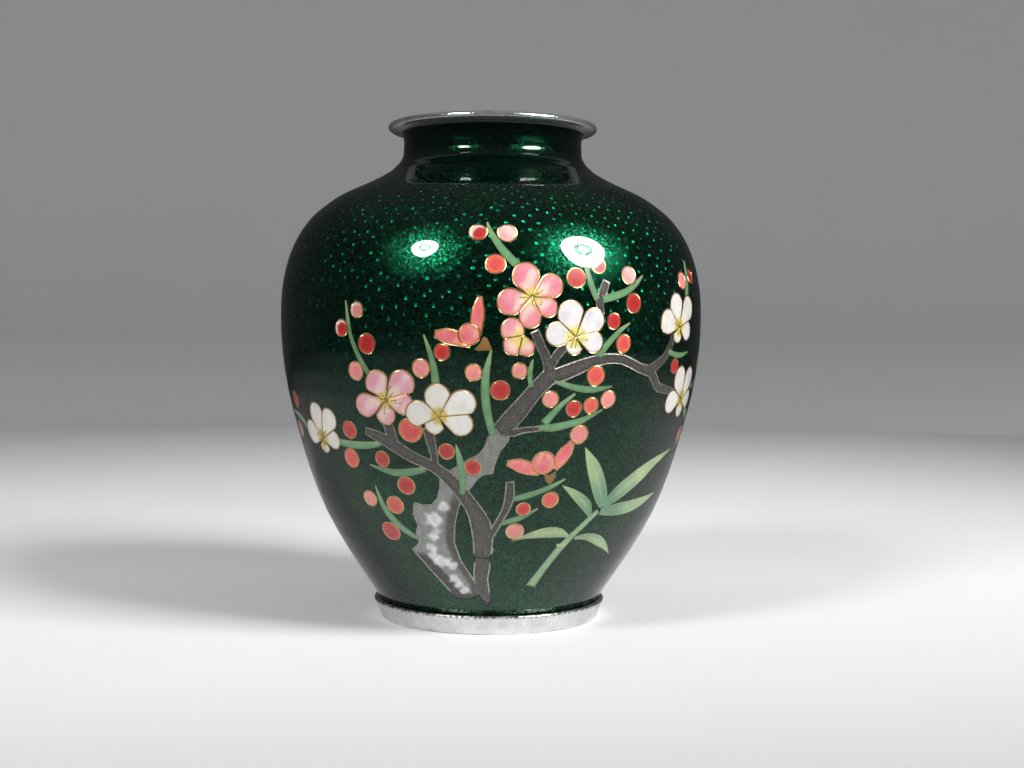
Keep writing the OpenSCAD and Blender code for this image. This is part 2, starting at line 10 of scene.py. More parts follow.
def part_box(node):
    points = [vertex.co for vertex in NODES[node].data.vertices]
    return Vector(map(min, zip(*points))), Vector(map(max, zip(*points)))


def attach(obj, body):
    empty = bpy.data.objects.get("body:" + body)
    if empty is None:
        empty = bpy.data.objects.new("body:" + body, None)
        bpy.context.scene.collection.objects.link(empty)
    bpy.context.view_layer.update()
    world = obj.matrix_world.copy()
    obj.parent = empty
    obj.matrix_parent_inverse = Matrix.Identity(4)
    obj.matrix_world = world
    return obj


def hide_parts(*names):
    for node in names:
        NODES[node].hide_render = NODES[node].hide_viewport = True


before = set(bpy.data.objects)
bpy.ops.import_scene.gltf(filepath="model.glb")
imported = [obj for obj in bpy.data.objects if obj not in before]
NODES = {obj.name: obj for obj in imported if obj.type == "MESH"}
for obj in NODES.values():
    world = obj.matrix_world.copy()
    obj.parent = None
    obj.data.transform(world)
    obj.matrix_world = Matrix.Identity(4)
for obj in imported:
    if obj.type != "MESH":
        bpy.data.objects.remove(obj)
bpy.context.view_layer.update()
MM = 0.001

# ---- Small helpers -----------------------------------------------------------


def linear(r, g, b):
    """A colour given as 0-255 sRGB, as linear light."""
    c = np.array([r, g, b], float) / 255
    return np.where(c <= 0.04045, c / 12.92, ((c + 0.055) / 1.055) ** 2.4)


def rgba(r, g, b):
    return (*linear(r, g, b), 1.0)


def smoothstep(low, high, x):
    t = np.clip((np.asarray(x, float) - low) / (high - low), 0, 1)
    return t * t * (3 - 2 * t)


# The lamps and the white table brighten what they shine on, so paint is mixed darker than it looks
PAINT = 0.72


def blend(a, b, t):
    """Colours a to b, for one t or for a column of them."""
    t = np.asarray(t, float)[..., None]
    return np.asarray(a) * (1 - t) + np.asarray(b) * t


def rotated(angles):
    """Unit vectors in the plane of the floor: azimuth 0 faces the front, positive to the right."""
    return np.sin(angles), -np.cos(angles)


# ---- Shader helpers ----------------------------------------------------------


class Shader:
    """A material with a Principled shader, and short calls for the nodes that feed it."""

    def __init__(self, name, **values):
        self.material = bpy.data.materials.new(name)
        self.material.use_nodes = True
        self.tree = self.material.node_tree
        self.main = self.tree.nodes["Principled BSDF"]
        for key, value in values.items():
            self.main.inputs[key.replace("_", " ")].default_value = value

    def node(self, kind, links=None, **settings):
        n = self.tree.nodes.new(kind)
        for key, value in settings.items():
            setattr(n, key, value)
        for key, value in (links or {}).items():
            self.feed(n.inputs[key], value)
        return n

    def feed(self, socket, value):
        if isinstance(value, bpy.types.NodeSocket):
            self.tree.links.new(value, socket)
        else:
            socket.default_value = value

    def coords(self, kind="Object"):
        return self.node("ShaderNodeTexCoord").outputs[kind]

    def noise(self, scale, detail=2.0, roughness=0.5, vector=None, distortion=0.0):
        links = {"Scale": scale, "Detail": detail, "Roughness": roughness, "Distortion": distortion}
        links["Vector"] = vector or self.coords()
        return self.node("ShaderNodeTexNoise", links).outputs["Fac"]

    def ramp(self, value, low, high, out_low=0.0, out_high=1.0, **settings):
        links = {"Value": value, "From Min": low, "From Max": high, "To Min": out_low, "To Max": out_high}
        return self.node("ShaderNodeMapRange", links, **settings).outputs["Result"]

    def math(self, operation, a, b=0.0, c=0.0):
        return self.node("ShaderNodeMath", {0: a, 1: b, 2: c}, operation=operation).outputs[0]

    def mix(self, factor, a, b, blend_type="MIX"):
        n = self.node("ShaderNodeMix", data_type="RGBA", blend_type=blend_type)
        self.feed(n.inputs["Factor"], factor)
        self.feed(n.inputs[6], a)
        self.feed(n.inputs[7], b)
        return n.outputs[2]

    def bump(self, height, strength, distance, normal=None):
        links = {"Height": height, "Strength": strength, "Distance": distance}
        if normal:
            links["Normal"] = normal
        return self.node("ShaderNodeBump", links).outputs["Normal"]

    def set(self, **sockets):
        for key, value in sockets.items():
            self.feed(self.main.inputs[key.replace("_", " ")], value)
        return self.material


# ---- The wall of the vase ----------------------------------------------------
# A place on the wall is an azimuth in radians and a distance s in mm along the wall, from the foot up.


def knots_of_wall():
    """Radius and height of the rings of the plain ground enamel at the back, in mm."""
    mesh = NODES["ground_enamel"].data
    rows = set()
    for face in mesh.polygons:
        c = face.center
        outward = (face.normal.x * c.x + face.normal.y * c.y) / math.hypot(c.x, c.y)
        if c.y > 0.03 and outward > 0.3:
            for v in face.vertices:
                p = mesh.vertices[v].co
                rows.add((round(p.z / MM, 2), round(math.hypot(p.x, p.y) / MM, 2)))
    return np.array(sorted(rows))


def merged(rows, least=0.4):
    """Rings that lie closer than that in height count as one."""
    kept = [rows[0]]
    for row in rows[1:]:
        if row[0] - kept[-1][0] >= least:
            kept.append(row)
    return np.array(kept)


def spline(knots, step=0.25):
    """Points along a smooth curve through the knots."""
    out = []
    for i in range(len(knots) - 1):
        a, b = knots[max(0, i - 1)], knots[i]
        c, d = knots[i + 1], knots[min(len(knots) - 1, i + 2)]
        n = max(2, int(np.linalg.norm(c - b) / step))
        for t in np.arange(n) / n:
            out.append(b + (c - a) * t / 2 + (2 * a - 5 * b + 4 * c - d) * t ** 2 / 2
                       + (3 * b - a - 3 * c + d) * t ** 3 / 2)
    out.append(knots[-1])
    return np.array(out)


INSIDE_CAD = 0.9992
curve = spline(merged(knots_of_wall()))
WALL_Z = curve[:, 0]
WALL_R = curve[:, 1] * INSIDE_CAD
WALL_S = np.concatenate([[0], np.cumsum(np.hypot(np.diff(WALL_Z), np.diff(WALL_R)))])
rise = np.gradient(WALL_Z, WALL_S)
run = np.gradient(WALL_R, WALL_S)
LENGTH = WALL_S[-1]
# Distance along the wall counted in turns, so that a pattern in it keeps its proportions
WALL_TURNS = np.concatenate([[0], np.cumsum(np.diff(WALL_S) / WALL_R[1:])])


def s_of(z):
    return np.interp(z, WALL_Z, WALL_S)


def radius(s):
    return np.interp(s, WALL_S, WALL_R)


def height(s):
    return np.interp(s, WALL_S, WALL_Z)


def normals(azimuth, s):
    out, up = np.interp(s, WALL_S, rise), -np.interp(s, WALL_S, run)
    size = np.hypot(out, up)
    x, y = rotated(azimuth)
    return np.stack([x * out / size, y * out / size, up / size], -1)


def on_wall(azimuth, s, lift=0.0):
    """Points in metres, raised over the wall by lift mm."""
    x, y = rotated(azimuth)
    r = radius(s)
    base = np.stack([x * r, y * r, height(s)], -1)
    return (base + normals(azimuth, s) * np.asarray(lift, float)[..., None]) * MM


# ---- Objects -----------------------------------------------------------------


def new_object(name, points, faces, material, smooth=True):
    mesh = bpy.data.meshes.new(name)
    mesh.from_pydata([tuple(p) for p in points], [], faces)
    mesh.materials.append(material)
    if smooth:
        mesh.shade_smooth()
    mesh.update()
    obj = bpy.data.objects.new(name, mesh)
    bpy.context.scene.collection.objects.link(obj)
    return obj


def place(obj, slot, *nodes):
    """The piece rides with the vase and stands for those CAD nodes."""
    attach(obj, "root")
    if nodes:
        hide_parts(*nodes)
    return obj


def revolved(name, outline, columns, material, closed=True, shape=None):
    """Turns an outline of (radius, height) in mm about the axis. shape moves the points."""
    outline = np.asarray(outline, float)
    rows = len(outline)
    angle = np.linspace(-math.pi, math.pi, columns, endpoint=False)
    x, y = rotated(angle)
    r = np.repeat(outline[:, :1], columns, 1)
    z = np.repeat(outline[:, 1:], columns, 1)
    if shape:
        r, z = shape(np.repeat(angle[None], rows, 0), r, z)
    points = np.stack([x * r, y * r, z], -1).reshape(-1, 3) * MM
    faces = []
    for i in range(rows if closed else rows - 1):
        a, b = i * columns, (i + 1) % rows * columns
        for j in range(columns):
            k = (j + 1) % columns
            faces.append((a + j, a + k, b + k, b + j))
    return new_object(name, points, faces, material)


# ---- Cells and wires of the design -------------------------------------------


def islands_of(node):
    """The node's outer faces, as lists of boundary segments in (azimuth, s), one list for each island."""
    bm = bmesh.new()
    bm.from_mesh(NODES[node].data)
    inner = []
    for face in bm.faces:
        c = face.calc_center_median()
        n = normals(math.atan2(c.x, -c.y), s_of(c.z / MM))
        if face.normal.dot(Vector(n)) < 0.7:
            inner.append(face)
    bmesh.ops.delete(bm, geom=inner, context="FACES")
    bmesh.ops.remove_doubles(bm, verts=bm.verts, dist=2e-6)
    bm.faces.ensure_lookup_table()
    seen, islands = set(), []
    for start in bm.faces:
        if start in seen:
            continue
        seen.add(start)
        stack, segments = [start], []
        while stack:
            face = stack.pop()
            for edge in face.edges:
                if len(edge.link_faces) == 1:
                    segments.append([v.co.copy() for v in edge.verts])
                for other in edge.link_faces:
                    if other not in seen:
                        seen.add(other)
                        stack.append(other)
        ends = np.array(segments)
        azimuth = np.arctan2(ends[..., 0], -ends[..., 1])
        islands.append(np.stack([azimuth, s_of(ends[..., 2] / MM)], -1))
    bm.free()
    return sorted(islands, key=lambda seg: (round(float(seg[..., 1].mean()), 1), float(seg[..., 0].mean())))


class Chart:
    """A flat map of one island, in mm: x along the wall's circle, y up the wall."""

    def __init__(self, segments):
        self.middle = segments[..., 0].mean()
        self.segments = self.flat(segments)

    def flat(self, places):
        return np.stack([(places[..., 0] - self.middle) * radius(places[..., 1]), places[..., 1]], -1)

    def places(self, flat):
        return self.middle + flat[:, 0] / radius(flat[:, 1]), flat[:, 1]


def edge_distance(points, segments):
    """Distance from each point to the nearest segment."""
    best = np.full(len(points), 1e9)
    for a, b in segments:
        ab = b - a
        t = np.clip(((points - a) @ ab) / max(ab @ ab, 1e-12), 0, 1)
        gap = points - (a + t[:, None] * ab)
        best = np.minimum(best, np.hypot(gap[:, 0], gap[:, 1]))
    return best


def inside(points, segments):
    """Even-odd test of each point against the outline."""
    odd = np.zeros(len(points), bool)
    for a, b in segments:
        crosses = (a[1] > points[:, 1]) != (b[1] > points[:, 1])
        if crosses.any():
            x = a[0] + (points[:, 1] - a[1]) / (b[1] - a[1] if b[1] != a[1] else 1e-12) * (b[0] - a[0])
            odd ^= crosses & (points[:, 0] < x)
    return odd


def hex_grid(low, high, pitch):
    rows = np.arange(low[1], high[1], pitch * 0.866)
    xs = np.arange(low[0], high[0], pitch)
    return np.array([(x + (i % 2) * pitch / 2, y) for i, y in enumerate(rows) for x in xs]).reshape(-1, 2)


def triangulated(segments, pitch, rim):
    """Points and triangles that fill the outline. rim sets a second row of points that far inside it."""
    corners, edges, index = [], [], {}

    def corner(p):
        key = (round(float(p[0]), 4), round(float(p[1]), 4))
        if key not in index:
            index[key] = len(corners)
            corners.append(key)
        return index[key]

    for a, b in segments:
        n = max(1, math.ceil(np.linalg.norm(b - a) / pitch))
        row = [corner(a + (b - a) * k / n) for k in range(n + 1)]
        edges += [(p, q) for p, q in zip(row, row[1:]) if p != q]
    outline = np.array([(corners[p], corners[q]) for p, q in edges])
    extra = hex_grid(outline.min((0, 1)), outline.max((0, 1)), pitch)
    extra = extra[edge_distance(extra, outline) > max(pitch * 0.5, rim * 1.6)]
    if rim:
        across = outline[:, 1] - outline[:, 0]
        across = np.stack([-across[:, 1], across[:, 0]], -1) / np.linalg.norm(across, axis=1)[:, None]
        centre = outline.mean(1)
        second = np.concatenate([centre + across * rim, centre - across * rim])
        second = second[edge_distance(second, outline) > rim * 0.9]
        extra = np.concatenate([second, extra])
    if len(extra):
        extra = extra[inside(extra, outline)]
    points = [Vector(p) for p in corners] + [Vector(p) for p in extra]
    verts, _, faces, *_ = delaunay_2d_cdt(points, edges, [], 0, 1e-5)
    verts = np.array([tuple(v) for v in verts])
    faces = [tuple(f) for f in faces]
    keep = inside(np.array([verts[list(f)].mean(0) for f in faces]), outline)
    return verts, [f for f, k in zip(faces, keep) if k], outline


def border_of(triangles):
    """The directed sides that belong to one triangle only."""
    sides = dict.fromkeys(side for f in triangles for side in zip(f, f[1:] + f[:1]))
    return [(a, b) for a, b in sides if (b, a) not in sides]


def rounded_over(facing, flat, azimuth, border, amount):
    """Normals that lean outwards at the border, so that a flat strip shades like a round wire."""
    side_x, side_y = rotated(azimuth + math.pi / 2)
    right = np.stack([side_x, side_y, np.zeros(len(flat))], -1)
    up = np.cross(facing, right)
    lean = np.zeros((len(flat), 2))
    for a, b in border:
        d = flat[b] - flat[a]
        out = np.array([d[1], -d[0]]) / max(np.hypot(*d), 1e-9)
        lean[a] += out
        lean[b] += out
    size = np.maximum(np.hypot(lean[:, 0], lean[:, 1]), 1)
    lean = lean / size[:, None] * amount
    facing = facing + right * lean[:, :1] - up * lean[:, 1:]
    return facing / np.linalg.norm(facing, axis=1)[:, None]


def tint_of(paint, node, number, chart, flat, triangles, outline):
    """The colour of every point of one island, from its paint function."""
    if paint is None:
        return np.ones((len(flat), 3))
    azimuth, s = chart.places(flat)
    used = sorted({v for f in triangles for v in f})
    edge = edge_distance(flat, outline)
    return paint(dict(azimuth=np.degrees(azimuth), z=height(s), s=s, edge=edge, flat=flat, number=number,
                      node=node, middle=flat[used].mean(0), chart=chart)) * PAINT


CELL_DEPTH = 0.4


def build_cells(name, node_names, material, paint=None, pitch=0.7, lift=0.03, rim=0.0, rounded=0.0):
    """One object with the tops and sides of every island of the nodes, painted point by point."""
    points, faces, shades, colours = [], [], [], []
    for node in node_names:
        for number, segments in enumerate(islands_of(node)):
            chart = Chart(segments)
            flat, triangles, outline = triangulated(chart.segments, pitch, rim)
            if not triangles:
                continue
            azimuth, s = chart.places(flat)
            count, start = len(flat), len(points)
            border = border_of(triangles)
            facing = normals(azimuth, s)
            if rounded:
                facing = rounded_over(facing, flat, azimuth, border, rounded)
            points += list(on_wall(azimuth, s, np.full(count, lift)))
            points += list(on_wall(azimuth, s, np.full(count, -CELL_DEPTH)))
            shades += list(facing) * 2
            colours += list(tint_of(paint, node, number, chart, flat, triangles, outline)) * 2
            faces += [tuple(start + v for v in f) for f in triangles]
            faces += [tuple(start + count + v for v in reversed(f)) for f in triangles]
            faces += [(start + b, start + a, start + count + a, start + count + b) for a, b in border]
    used = np.zeros(len(points), bool)
    for f in faces:
        used[list(f)] = True
    renumber = np.cumsum(used) - 1
    faces = [tuple(int(renumber[v]) for v in f) for f in faces]
    points, shades, colours = (np.array(column)[used] for column in (points, shades, colours))
    obj = new_object(name, points, faces, material)
    coat = obj.data.color_attributes.new("paint", "FLOAT_COLOR", "POINT")
    coat.data.foreach_set("color", np.c_[colours, np.ones(len(colours))].astype(np.float32).ravel())
    obj.data.normals_split_custom_set_from_vertices([tuple(n) for n in shades])
    return obj


# ---- Materials ---------------------------------------------------------------


def enamel(name, grain=0.10, specks=0.0, roughness=0.35, fine=2600.0):
    """Opaque cell enamel under its polish: painted colour, cloudy and finely grained."""
    sh = Shader(name, Roughness=roughness, Coat_Weight=1.0, Coat_Roughness=0.04, Coat_IOR=1.5)
    colour = sh.node("ShaderNodeVertexColor", layer_name="paint").outputs["Color"]
    cloud = sh.ramp(sh.noise(420.0, 3.0, 0.6), 0.3, 0.7, 1 - grain, 1 + grain)
    grit = sh.ramp(sh.noise(fine, 2.0, 0.6), 0.25, 0.75, 1 - grain * 0.8, 1 + grain * 0.8)
    shade = sh.math("MULTIPLY", cloud, grit)
    n = sh.node("ShaderNodeVectorMath", {0: colour, 1: shade}, operation="MULTIPLY")
    colour = n.outputs[0]
    if specks:
        dots = sh.ramp(sh.noise(5200.0, 0.0), 0.70, 0.78, 0.0, specks)
        colour = sh.mix(dots, colour, rgba(225, 226, 220))
    swell = sh.bump(sh.noise(240.0, 1.0), 0.10, 0.0006)
    return sh.set(Base_Color=colour, Coat_Normal=swell)


def ground_material():
    """Dark green glass over silver foil. The foil is crinkled under the smooth top of the glass, and
    rows of tiny pits in it scatter the lamps' light. The pits, with a bright green that is painted glitter,
    are kept only in the band of heights where the lamps' highlights fall: they fade out below the belly
    and on the neck, where the glass's tint is also darkened as painted shade."""
    sh = Shader("ground_glass", Coat_Weight=1.0, Coat_Roughness=0.03, Coat_IOR=1.5,
                Specular_Tint=(0.02, 0.12, 0.07, 1))
    uv = sh.node("ShaderNodeUVMap", uv_map="dimples").outputs["UV"]
    cell = sh.node("ShaderNodeTexVoronoi", {"Vector": uv, "Scale": 1.0, "Randomness": 0.55},
                   voronoi_dimensions="2D")
    pit = sh.ramp(cell.outputs["Distance"], 0.18, 0.07)
    z = sh.node("ShaderNodeSeparateXYZ", {"Vector": sh.coords()}).outputs["Z"]
    # Painted glints: the pits and their bright green are kept only in the band of heights where the lamps'
    # highlights fall
    painted_glint_band = sh.math("MULTIPLY", sh.ramp(z, 0.085, 0.125), sh.ramp(z, 0.155, 0.170, 1.0, 0.15))
    pit = sh.math("MULTIPLY", pit, painted_glint_band)
    lively = sh.math("POWER", sh.ramp(cell.outputs["Color"], 0.1, 0.9, 0.22, 1.0), 2.6)
    press = sh.bump(sh.math("SUBTRACT", 1.0, pit), 1.0, 0.0002)
    crinkle = sh.bump(sh.noise(2600.0, 2.0, 0.7), 0.8, 0.00009, press)
    grains = sh.node("ShaderNodeTexVoronoi", {"Vector": sh.coords(), "Scale": 2300.0, "Randomness": 1.0})
    spark = sh.math("POWER", sh.ramp(grains.outputs["Color"], 0.2, 0.9, 0.25, 2.1), 2.0)
    # deep and clear are the glass's own tint; the third colour is the bright green painted into the pits as
    # glitter of the lamps' light
    deep, clear, painted_glint = (0.0009, 0.023, 0.0105, 1), (0.0016, 0.032, 0.0145, 1), (0.004, 0.60, 0.27, 1)
    tint = sh.mix(sh.ramp(sh.noise(60.0, 2.0), 0.35, 0.65), deep, clear)
    # Painted shade: the glass's tint is darkened on the neck
    spark = sh.math("MULTIPLY", spark, sh.ramp(z, 0.150, 0.168, 1.0, 0.45))
    tint = sh.node("ShaderNodeVectorMath", {0: tint, 1: spark}, operation="MULTIPLY").outputs[0]
    tint = sh.mix(sh.math("MULTIPLY", pit, lively), tint, painted_glint)
    metal = sh.ramp(pit, 0.0, 0.5, 0.84, 1.0)
    roughness = sh.ramp(pit, 0.0, 0.6, 0.09, 0.40)
    return sh.set(Base_Color=tint, Metallic=metal, Roughness=roughness, Normal=crinkle)


def inside_material():
    sh = Shader("inside_glass", Roughness=0.3, Coat_Weight=0.6, Coat_Roughness=0.08)
    cloud = sh.ramp(sh.noise(90.0, 4.0, 0.6), 0.3, 0.7)
    specks = sh.ramp(sh.noise(1800.0, 1.0), 0.66, 0.75)
    colour = sh.mix(cloud, rgba(10, 38, 28), rgba(18, 58, 44))
    colour = sh.mix(specks, colour, rgba(90, 120, 105))
    return sh.set(Base_Color=colour, Normal=sh.bump(sh.noise(500.0, 3.0), 0.25, 0.0003))


def wire_material(name, light, dark, roughness=0.28, painted=False):
    sh = Shader(name, Metallic=1.0, Roughness=roughness, Coat_Weight=0.6, Coat_Roughness=0.05)
    wear = sh.ramp(sh.noise(900.0, 3.0, 0.6), 0.35, 0.65)
    colour = sh.mix(wear, dark, light)
    if painted:
        paint = sh.node("ShaderNodeVertexColor", layer_name="paint").outputs["Color"]
        paint = sh.node("ShaderNodeVectorMath", {0: paint, "Scale": 1 / PAINT}, operation="SCALE").outputs[0]
        colour = sh.mix(1.0, colour, paint, "MULTIPLY")
    return sh.set(Base_Color=colour, Normal=sh.bump(sh.noise(3000.0, 2.0), 0.3, 0.00005))


def silver(name, pits, tarnish, roughness, brass=0.0, worn_above=None, metal=1.0):
    """Plated metal with pits and cloudy tarnish, brassy where it is thin. Above the height worn_above,
    in mm, it is full of dark specks."""
    sh = Shader(name, Metallic=metal)
    cloud = sh.noise(160.0, 4.0, 0.65)
    pit = sh.ramp(sh.noise(1500.0, 3.0, 0.6), 0.56, 0.66)
    colour = sh.mix(sh.ramp(cloud, 0.3, 0.7, 0.0, tarnish), rgba(240, 241, 241), rgba(150, 152, 155))
    if brass:
        worn = sh.ramp(sh.noise(700.0, 3.0, 0.6), 0.5, 0.62, 0.0, brass)
        colour = sh.mix(worn, colour, rgba(205, 190, 130))
    colour = sh.mix(sh.math("MULTIPLY", pit, pits), colour, rgba(45, 46, 52))
    if worn_above:
        z = sh.node("ShaderNodeSeparateXYZ", {"Vector": sh.coords()}).outputs["Z"]
        band = sh.ramp(z, (worn_above - 0.5) * MM, (worn_above + 0.3) * MM)
        crumbs = sh.ramp(sh.noise(1100.0, 3.0, 0.7), 0.47, 0.55)
        colour = sh.mix(sh.math("MULTIPLY", band, crumbs), colour, rgba(70, 66, 48))
    rough = sh.ramp(cloud, 0.3, 0.7, roughness, roughness + 0.14)
    normal = sh.bump(sh.noise(800.0, 3.0, 0.6), 0.35, 0.0003)
    return sh.set(Base_Color=colour, Roughness=rough, Normal=normal)


def copper_material():
    sh = Shader("fired_copper", Metallic=1.0)
    scale = sh.ramp(sh.noise(120.0, 5.0, 0.65), 0.35, 0.7)
    colour = sh.mix(scale, rgba(196, 122, 82), rgba(96, 58, 44))
    rough = sh.ramp(sh.noise(300.0, 3.0), 0.3, 0.7, 0.3, 0.55)
    return sh.set(Base_Color=colour, Roughness=rough, Normal=sh.bump(sh.noise(900.0, 3.0), 0.2, 0.0002))


def foil_material():
    sh = Shader("silver_foil", Metallic=1.0, Roughness=0.3)
    cell = sh.node("ShaderNodeTexVoronoi", {"Vector": sh.coords(), "Scale": 360.0, "Randomness": 0.3})
    colour = sh.mix(sh.ramp(sh.noise(200.0, 3.0), 0.3, 0.7), rgba(220, 222, 222), rgba(180, 184, 186))
    return sh.set(Base_Color=colour, Normal=sh.bump(cell.outputs["Distance"], 0.6, 0.0003))


# ---- Paint of the cells ------------------------------------------------------
GOLD_LINE = linear(150, 145, 95)


def vary(p, amount=0.08):
    """A small steady change of brightness from cell to cell."""
    return 1 + amount * math.sin(12.9 * p["middle"][1] + 7.3 * math.degrees(p["chart"].middle))


def is_at(p, spots, reach=2.5):
    """True if the cell is at one of the spots, given as azimuth and height."""
    azimuth, z = math.degrees(p["chart"].middle), height(p["middle"][1])
    return any(math.hypot(spot_azimuth - azimuth, spot_z - z) < reach for spot_azimuth, spot_z in spots)


def paint_bud(core, edge_colour, crescents=(), pale=()):
    """Buds: an edge tone, a core with a painted sheen towards the top left, and on some a cream crescent or a
    pale side.
    """
    core, edge_colour = linear(*core), linear(*edge_colour)
    cream = linear(245, 226, 215)

    def paint(p):
        x, y = (p["flat"] - p["middle"]).T
        colour = blend(edge_colour, core, smoothstep(0.15, 1.5, p["edge"]))
        # Painted sheen: every bud is brightened in a soft spot towards its top left, where the lamps' light
        # shines
        glow = np.exp(-((x + 0.6) ** 2 + (y - 0.7) ** 2) / 2.4)
        colour = blend(colour, colour * 1.15 + 0.01, glow * 0.5)
        if is_at(p, pale):
            colour = blend(colour, cream, 0.3 + 0.4 * smoothstep(-1.5, 1.5, x + y))
        if is_at(p, crescents):
            reach = np.hypot(x, y).max()
            offset = np.hypot(x - 0.24 * reach, y + 0.22 * reach)
            colour = blend(colour, cream, smoothstep(0.86 * reach, reach, offset))
        return colour * vary(p)

    return paint


def heart_of(node):
    """The place where a blossom's petals meet: close to the nearest point of every petal."""
    petals = islands_of(node)
    middle = np.mean([seg.reshape(-1, 2).mean(0) for seg in petals], 0)
    for _ in range(30):
        nearest = []
        for seg in petals:
            p = seg.reshape(-1, 2)
            gap = np.hypot((p[:, 0] - middle[0]) * radius(middle[1]), p[:, 1] - middle[1])
            nearest.append(p[gap.argmin()])
        middle = 0.5 * middle + 0.5 * np.mean(nearest, 0)
    return middle


def paint_petals(heart, rim, body, pale, eye, shade, eye_size=(1.6, 3.4), pale_at=(3.0, 7.0)):
    """Petals: a thin rim tone, the body with pale and shaded clouds, and the yellow eye at the heart."""
    rim, body, pale, eye, shade = (linear(*c) for c in (rim, body, pale, eye, shade))

    def paint(p):
        c = p["chart"].flat(np.array([heart]))[0]
        x, y = (p["flat"] - c).T
        away = np.hypot(x, y)
        turn = np.arctan2(y, x)
        phase = 1.9 * p["number"]
        cloud = np.sin(0.55 * x + phase) * np.cos(0.5 * y - 1.3 * phase)
        cloud = cloud + 0.4 * np.sin(1.1 * x - 0.8 * y + phase)
        colour = blend(pale, body, smoothstep(*pale_at, away) * (1 - 0.75 * smoothstep(0.1, 0.9, cloud)))
        colour = blend(colour, shade, 0.55 * smoothstep(0.15, 0.9, -cloud))
        colour = blend(rim, colour, smoothstep(0.1, 1.0, p["edge"]))
        rays = 0.5 + 0.5 * np.sin(turn * 9.0 + 1.3)
        colour = blend(eye, colour, smoothstep(eye_size[0], eye_size[1], away - 0.7 * rays))
        return colour * vary(p, 0.03)

    return paint


def paint_long(core, edge_colour, tip):
    """Sepals, shoots and leaves: an edge tone and a lighter line along the middle."""
    core, edge_colour, tip = linear(*core), linear(*edge_colour), linear(*tip)

    def paint(p):
        half = max(p["edge"].max(), 0.3)
        colour = blend(edge_colour, core, smoothstep(0.1, 0.55 * half, p["edge"]))
        y = p["flat"][:, 1]
        along = (y - y.min()) / max(np.ptp(y), 1e-6)
        colour = blend(colour, tip, 0.6 * smoothstep(0.55, 1.0, along))
        colour = blend(colour * 0.88, colour, 0.5 + 0.5 * np.sin(y * 0.9 + 2.0 * along))
        line = smoothstep(0.02, 0.2, p["edge"])
        return blend(GOLD_LINE * 0.8, colour, line) * vary(p, 0.06)

    return paint


def paint_leaf(p):
    """Bamboo leaves: blue-green at the joint, yellow-green blades, a pale midrib."""
    light, deep, rib = linear(172, 198, 144), linear(106, 154, 120), linear(204, 216, 178)
    joint = np.array([math.radians(37.0), s_of(47.0)])
    c = p["chart"].flat(joint[None])[0]
    away = np.hypot(*(p["flat"] - c).T)
    colour = blend(deep, light, smoothstep(5, 20, away))
    half = max(p["edge"].max(), 0.5)
    side = 0.5 + 0.5 * np.sin(p["flat"][:, 0] * 0.5 + p["flat"][:, 1] * 0.35)
    colour = blend(colour * 0.86, colour, side)
    colour = blend(colour, rib, 0.35 * smoothstep(0.55 * half, 0.95 * half, p["edge"]))
    return blend(GOLD_LINE, colour, smoothstep(0.02, 0.25, p["edge"]))


def paint_stem(p):
    colour = blend(linear(112, 158, 118), linear(150, 190, 140), smoothstep(0.1, 1.0, p["edge"]))
    joint = np.exp(-((p["z"] - 34.0) / 0.5) ** 2)
    colour = blend(colour, linear(190, 205, 150), joint * 0.8)
    return blend(GOLD_LINE, colour, smoothstep(0.02, 0.2, p["edge"]))


LICHEN = [  # azimuth, height, radius and strength of the white spots on the old trunk
    (-17.5, 43.5, 2.9, 1.0), (-13.8, 48.3, 1.7, 0.8), (-18.4, 37.4, 1.7, 0.9), (-17.0, 39.4, 1.2, 0.6),
    (-20.0, 33.0, 1.9, 0.9), (-18.5, 28.4, 2.4, 1.0), (-15.8, 28.0, 2.1, 0.9), (-13.6, 26.6, 1.8, 0.8),
    (-13.6, 21.6, 1.9, 0.9), (-12.2, 19.2, 1.6, 0.9), (-10.2, 17.0, 1.6, 1.0), (-20.3, 30.4, 1.6, 0.8),
]


def near(p, az, z, r):
    """How close each point is to a place, 1 at it and 0 past the radius."""
    dx = np.radians(p["azimuth"] - az) * radius(p["s"])
    dy = p["s"] - s_of(z)
    return 1 - smoothstep(0.0, 1.0, (np.hypot(dx, dy) / r - 0.5) / 0.6)


def paint_trunk(p):
    grey, dark, snow = linear(150, 152, 148), linear(68, 65, 60), linear(250, 252, 250)
    az, z = p["azimuth"], p["z"]
    if az.mean() > -8 and z.mean() < 40:
        colour = blend(linear(165, 168, 158), dark, smoothstep(15, 27, z))
    else:
        colour = np.repeat(grey[None], len(az), 0)
        right_edge = np.interp(z, [14, 19, 28, 36, 45, 58], [-7.5, -7.5, -12.5, -14.5, -13.0, -9.0])
        strip = smoothstep(-1.2, 0.6, az - right_edge) * (1 - smoothstep(50, 56, z))
        colour = blend(colour, dark, np.clip(strip, 0, 1))
        if z.min() < 30:
            heights = np.arange(z.min() + 0.6, 36, 1.5)
            left_edge = np.interp(z, heights, [az[np.abs(z - h) < 1.0].min() for h in heights])
            reach = np.interp(z, [15, 19, 30], [8.0, 5.0, 3.8])
            corner = (1 - smoothstep(0.0, 1.2, az - left_edge - reach)) * (1 - smoothstep(29.5, 32, z))
            colour = blend(colour, linear(20, 36, 30), corner)
        colour = blend(colour, linear(132, 131, 127), smoothstep(56, 64, z) * 0.8)
    ragged = 1 + 0.25 * np.sin(1.7 * p["flat"][:, 0]) * np.cos(1.4 * p["flat"][:, 1])
    for s_az, s_z, r, strength in LICHEN:
        colour = blend(colour, snow, min(1, 1.2 * strength) * near(p, s_az, s_z, 1.2 * r * ragged))
    streak = 0.5 + 0.5 * np.sin(p["flat"][:, 0] * 1.9 + np.sin(p["flat"][:, 1] * 0.4) * 2)
    return blend(colour * 0.88, colour, streak)


